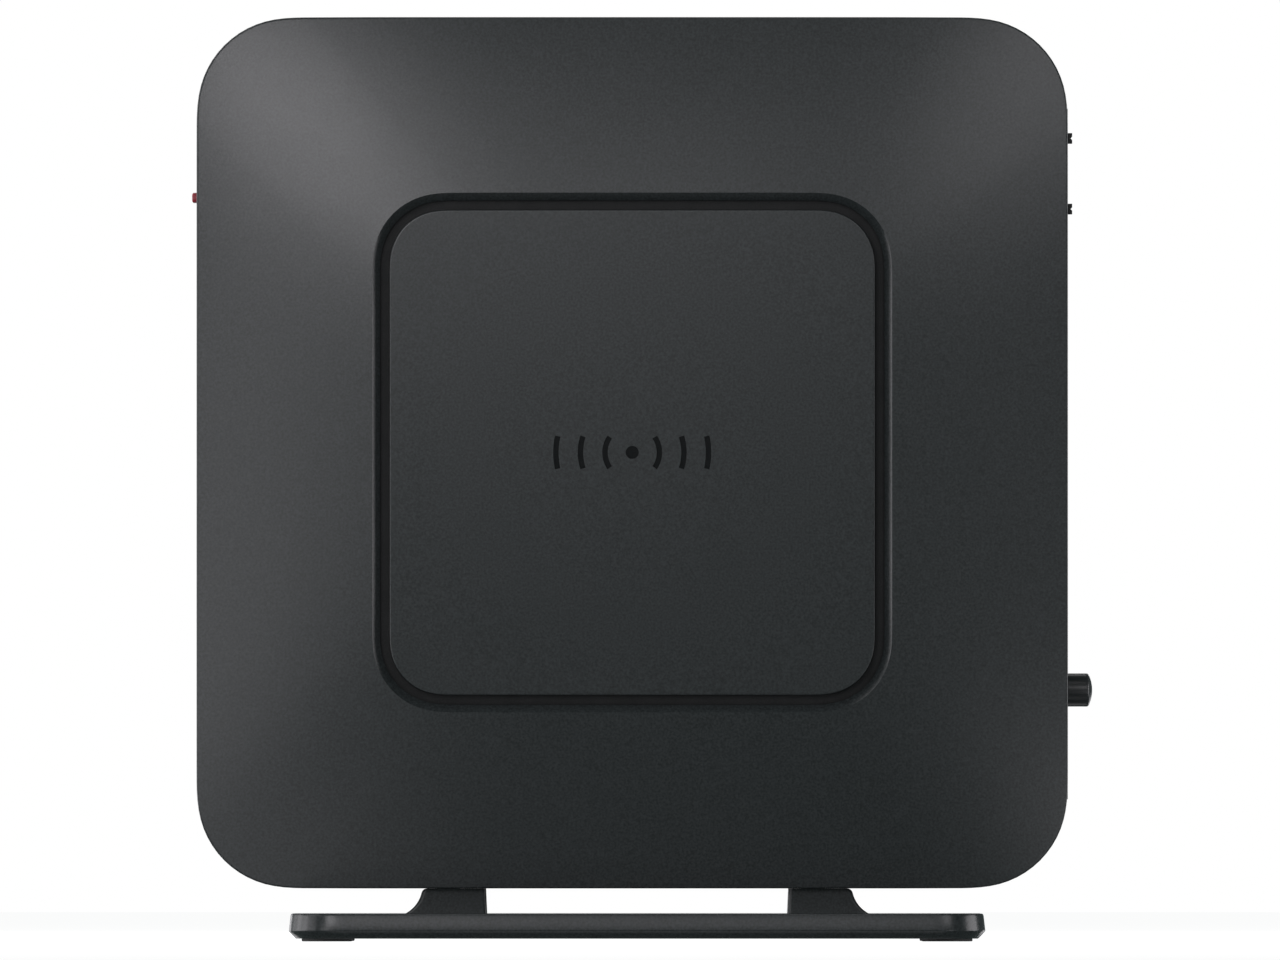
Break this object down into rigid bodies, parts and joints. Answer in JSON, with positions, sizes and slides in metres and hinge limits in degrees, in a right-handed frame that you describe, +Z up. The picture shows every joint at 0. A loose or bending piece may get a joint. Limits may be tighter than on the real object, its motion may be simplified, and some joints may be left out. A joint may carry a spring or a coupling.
{
  "type": "mesh wifi node",
  "caption": "Upright square Wi-Fi router with crowned side shells, grooved centre panels, rear network sockets, slide switches and push buttons on a slide-off stand with round feet.",
  "frame": {"origin": "centre of the stand's footprint, on the surface it stands on", "axes": "+Z up; -X is the front edge with the lights and the setup button; +X is the rear edge with the sockets; -Y is the left side"},
  "size_m": [0.1655, 0.072, 0.1697],
  "materials": {
    "charcoal_plastic": "fine-grain matte charcoal",
    "panel_plastic": "fine-grain matte charcoal",
    "label": "blank printed film, satin",
    "gloss_black": "polished black",
    "rear_black": "fine matte black",
    "light_guide": "clear frosted acrylic",
    "led": "phosphor resin",
    "button_red": "satin red",
    "switch_white": "natural nylon",
    "switch_black": "moulded black",
    "button_black": "semi-gloss black",
    "bright_metal": "tinned sheet",
    "dark_screws": "zinc, dark passivated",
    "jack_black": "glass-filled black",
    "jack_blue": "glass-filled blue",
    "gold_contacts": "gold-flashed spring metal",
    "board_green": "green solder mask",
    "chip_black": "epoxy moulding",
    "thermal_pad": "soft silicone",
    "heat_sink": "extruded, bead blasted",
    "foam": "open-cell foam",
    "lead_black": "thin coaxial jacket",
    "foot_rubber": "soft rubber"
  },
  "bodies": {
    "housing": {"left_cover": "charcoal_plastic", "right_cover": "charcoal_plastic", "left_panel": "panel_plastic", "right_panel": "panel_plastic", "rating_label": "label", "front_bezel": "gloss_black", "light_guide": "light_guide", "status_leds": "led", "setup_switch_body": "switch_black", "rear_panel": "rear_black", "auto_switch_body": "bright_metal", "mode_switch_body": "bright_metal", "power_switch_body": "switch_black", "reset_switch_body": "switch_black", "dc_jack_body": "jack_black", "dc_jack_pin": "gold_contacts", "dc_jack_spring": "gold_contacts", "wan_jack_body": "jack_blue", "wan_jack_contacts": "gold_contacts", "lan_jack_body": "jack_black", "lan_jack_contacts": "gold_contacts", "main_board": "board_green", "processor_chip": "chip_black", "thermal_pad": "thermal_pad", "heat_sink": "heat_sink", "heat_sink_pins": "switch_white", "memory_chip": "chip_black", "flash_chip": "chip_black", "ethernet_chip": "chip_black", "radio_chip_5g": "chip_black", "radio_chip_2g": "chip_black", "shield_can_5g": "bright_metal", "shield_can_2g": "bright_metal", "network_transformers": "chip_black", "capacitors": "bright_metal", "power_inductors": "chip_black", "antenna_sockets": "gold_contacts", "antenna_top_front": "board_green", "antenna_top_rear": "board_green", "antenna_front_upper": "board_green", "antenna_front_lower": "board_green", "antenna_pads": "foam", "lead_top_front": "lead_black", "lead_top_rear": "lead_black", "lead_front_upper": "lead_black", "lead_front_lower": "lead_black", "board_screws": "bright_metal", "case_screws": "dark_screws"},
    "setup_key": {"setup_button": "button_red", "setup_switch_plunger": "switch_white"},
    "auto_switch": {"auto_switch_knob": "button_black"},
    "mode_switch": {"mode_switch_knob": "button_black"},
    "power_key": {"power_button_cap": "charcoal_plastic", "power_switch_plunger": "switch_white"},
    "reset_key": {"reset_button": "switch_white"},
    "stand": {"stand_base": "charcoal_plastic", "stand_feet": "foot_rubber"}
  },
  "joints": [
    {"name": "setup_button_press", "type": "slide", "parent": "housing", "child": "setup_key", "axis": [1, 0, 0], "range_m": [0, 0.0005], "stiffness_N_per_m": 800},
    {"name": "auto_switch_slide", "type": "slide", "parent": "housing", "child": "auto_switch", "axis": [0, 0, 1], "range_m": [-0.002, 0]},
    {"name": "mode_switch_slide", "type": "slide", "parent": "housing", "child": "mode_switch", "axis": [0, 0, 1], "range_m": [-0.002, 0.002]},
    {"name": "power_button_press", "type": "slide", "parent": "housing", "child": "power_key", "axis": [-1, 0, 0], "range_m": [0, 0.0025], "stiffness_N_per_m": 600},
    {"name": "reset_button_press", "type": "slide", "parent": "housing", "child": "reset_key", "axis": [-1, 0, 0], "range_m": [0, 0.0004], "stiffness_N_per_m": 1500},
    {"name": "stand_release", "type": "slide", "parent": "housing", "child": "stand", "axis": [-1, 0, 0], "range_m": [0, 0.006]}
  ]
}
